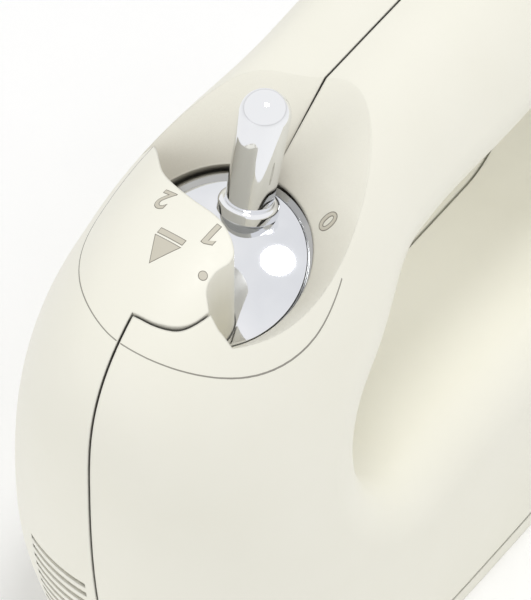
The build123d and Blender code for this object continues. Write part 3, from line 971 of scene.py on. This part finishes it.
    def laid(self, shape: bmesh.types.BMesh, spot: Spot, lift: float, shells: Shells) -> None:
        """Lay a flat mark on the shells, with a thin edge into them.

        Args:
            shape: The flat mark, which is changed.
            spot: Its place and size.
            lift: How far it stands off the shell, in millimetres.
            shells: The shells.
        """
        shape.normal_update()
        bmesh.ops.triangulate(shape, faces=shape.faces[:])
        coarse = [edge for edge in shape.edges if edge.calc_length() > self.longest_edge]
        bmesh.ops.subdivide_edges(shape, edges=coarse, cuts=self.edge_cuts, use_grid_fill=True)
        shape.transform(Matrix.Translation((spot.x * MM, spot.y * MM, 0.0))
                        @ Matrix.Rotation(math.radians(spot.turn), 4, "Z") @ Matrix.Scale(MM, 4))
        for vert in shape.verts:
            vert.co = shells.spot(vert.co.x, vert.co.y, lift * MM)
        shells.thickened(shape, self.depth * MM)

    def build(self, shells: Shells) -> None:
        """Make the outlines and the fills.

        Args:
            shells: The shells that they are laid on.
        """
        for layer in self.layers:
            gathered = bmesh.new()
            for sign, spot in self.spots.items():
                shape = self.drawn(sign, spot, layer.growth)
                self.laid(shape, spot, layer.lift, shells)
                part = bpy.data.meshes.new(layer.name)
                shape.to_mesh(part)
                shape.free()
                gathered.from_mesh(part)
                bpy.data.meshes.remove(part)
            piece(layer.name, gathered, layer.finish, Body.FRAME)


@dataclass
class RingLine:
    """The fine line that closes the dish's oval on the nose, laid on the shells.

    Lengths are in millimetres and the oval's turn in degrees. The line ends where Y, with a share
    of X, passes end_y.
    """

    centre: tuple[float, float] = (1.73, -54.36)
    half: tuple[float, float] = (27.6, 34.2)
    turn: float = 7.68
    width: float = 0.2
    end_y: float = -42.36
    end_slope: float = 0.091
    steps: int = 480
    lift: float = 0.02
    depth: float = 0.16
    deepest_step: float = 1.5

    def across(self, step: int) -> list[Vector]:
        """Give the line's inner and outer point at one step round the oval.

        Args:
            step: The step.

        Returns:
            The two points in plan, in millimetres, or none past the line's ends.
        """
        angle = 2.0 * math.pi * step / self.steps
        spin = Matrix.Rotation(math.radians(self.turn), 2)
        points = []
        for side in (-self.width / 2.0, self.width / 2.0):
            half_x, half_y = self.half[0] + side, self.half[1] + side
            out = Vector((half_x * math.sin(angle), half_y * math.cos(angle)))
            points.append(Vector(self.centre) + spin @ out)
        past = any(p.y + self.end_slope * p.x > self.end_y for p in points)
        return [] if past else points

    def build(self, shells: Shells) -> None:
        """Lay the line on the shells, open where it crosses their seam.

        Args:
            shells: The shells that it is laid on.
        """
        shape = bmesh.new()
        last: list[bmesh.types.BMVert] = []
        for step in range(self.steps):
            spots = [shells.spot(x * MM, y * MM, self.lift * MM) for x, y in self.across(step)]
            pair = [shape.verts.new(spot) for spot in spots if spot is not None]
            corners = last + pair[::-1]
            heights = [vert.co.z for vert in corners]
            if len(corners) == 4 and max(heights) - min(heights) < self.deepest_step * MM:
                shape.faces.new(corners)
            last = pair
        loose = [vert for vert in shape.verts if not vert.link_faces]
        bmesh.ops.delete(shape, geom=loose, context="VERTS")
        shells.thickened(shape, self.depth * MM)
        piece("ring_line", shape, RING_LINE, Body.FRAME)


@dataclass(frozen=True)
class Lamp:
    """A round soft light: its place, aim and width in metres and its power in watts."""

    name: str
    place: tuple[float, float, float]
    aim: tuple[float, float, float]
    width: float
    power: float
    mirrored: bool = False

    def hang(self) -> None:
        """Hang the lamp, which shiny pieces show only when it is a mirrored one."""
        data = bpy.data.lights.new(self.name, "AREA")
        data.shape, data.size, data.energy = "DISK", self.width, self.power
        lamp = bpy.data.objects.new(self.name, data)
        bpy.context.scene.collection.objects.link(lamp)
        lamp.visible_glossy, lamp.visible_camera = self.mirrored, False
        lamp.location = self.place
        lamp.rotation_mode = "QUATERNION"
        lamp.rotation_quaternion = (Vector(self.aim) - Vector(self.place)).to_track_quat("-Z", "Y")


@dataclass
class Studio:
    """The floor, lights, world and camera of the photograph, in metres and degrees."""

    azimuth: float = 34.0
    elevation: float = 46.0
    target: tuple[float, float, float] = (0.0, -0.0327, 0.085)
    distance: float = 2.0
    lens: float = 552.0
    sensor: float = 36.0
    clip: tuple[float, float] = (0.01, 50.0)
    floor_size: float = 6.0
    ambient: float = 0.66
    lamps: tuple[Lamp, ...] = (
        Lamp("top_softbox", (0.165, 0.02, 1.58), (0.0, -0.03, 0.1), 0.44, 6.0, True),
        Lamp("front_fill", (-0.6, -1.25, 0.65), (0.0, 0.0, 0.07), 1.0, 2.5),
        Lamp("high_side", (0.8, 0.2, 1.35), (0.0, 0.0, 0.07), 0.6, 2.4),
        Lamp("handle_fill", (0.014, 0.012, 0.088), (0.02, 0.0, 0.05), 0.05, 0.0015),
    )

    def direction(self) -> Vector:
        """Give the unit vector from the target to the camera."""
        a, e = math.radians(self.azimuth), math.radians(self.elevation)
        return Vector((math.sin(a) * math.cos(e), -math.cos(a) * math.cos(e), math.sin(e)))

    def camera(self) -> None:
        """Set the camera at the photograph's angle."""
        data = bpy.data.cameras.new("camera")
        data.lens, data.sensor_width = self.lens, self.sensor
        data.clip_start, data.clip_end = self.clip
        camera = bpy.data.objects.new("camera", data)
        bpy.context.scene.collection.objects.link(camera)
        camera.location = Vector(self.target) + self.direction() * self.distance
        camera.rotation_mode = "QUATERNION"
        camera.rotation_quaternion = (-self.direction()).to_track_quat("-Z", "Y")
        bpy.context.scene.camera = camera

    def seen(self, tree: bpy.types.NodeTree) -> bpy.types.NodeSocket:
        """Tell whether a ray is one that shows the background.

        Args:
            tree: The node tree to add to.

        Returns:
            A socket that is 1 for camera, glossy and transmission rays.
        """
        path = tree.nodes.new("ShaderNodeLightPath")
        total = path.outputs["Is Camera Ray"]
        for name in ("Is Glossy Ray", "Is Transmission Ray"):
            both = tree.nodes.new("ShaderNodeMath")
            both.operation = "MAXIMUM"
            tree.links.new(total, both.inputs[0])
            tree.links.new(path.outputs[name], both.inputs[1])
            total = both.outputs[0]
        return total

    def world(self) -> None:
        """Make the pale world: white where it shows, softer as light."""
        world = bpy.data.worlds.new("studio")
        world.use_nodes = True
        tree = world.node_tree
        background = tree.nodes["Background"]
        background.inputs["Color"].default_value = (1.0, 1.0, 1.0, 1.0)
        strength = tree.nodes.new("ShaderNodeMapRange")
        strength.inputs["To Min"].default_value = self.ambient
        strength.inputs["To Max"].default_value = 1.0
        tree.links.new(self.seen(tree), strength.inputs["Value"])
        tree.links.new(strength.outputs[0], background.inputs["Strength"])
        bpy.context.scene.world = world

    def floor(self) -> None:
        """Lay the pale floor, which keeps the object's shadow."""
        mesh = bpy.data.meshes.new("floor")
        shape = bmesh.new()
        bmesh.ops.create_grid(shape, x_segments=1, y_segments=1, size=self.floor_size / 2.0)
        shape.to_mesh(mesh)
        shape.free()
        floor = bpy.data.objects.new("floor", mesh)
        bpy.context.scene.collection.objects.link(floor)
        mesh.materials.append(PAPER.build())

    def build(self) -> None:
        """Set the whole studio."""
        bpy.context.scene.view_settings.view_transform = "Standard"
        self.world()
        self.floor()
        for lamp in self.lamps:
            lamp.hang()
        self.camera()


def main() -> None:
    """Build the pieces in order."""
    logging.basicConfig(level=logging.INFO, format="%(name)s: %(message)s")
    carried.dress()
    Selector().build()
    EjectorSpring().build()
    shells = Shells()
    Marks().build(shells)
    RingLine().build(shells)
    Studio().build()


if __name__ == "__main__":
    main()
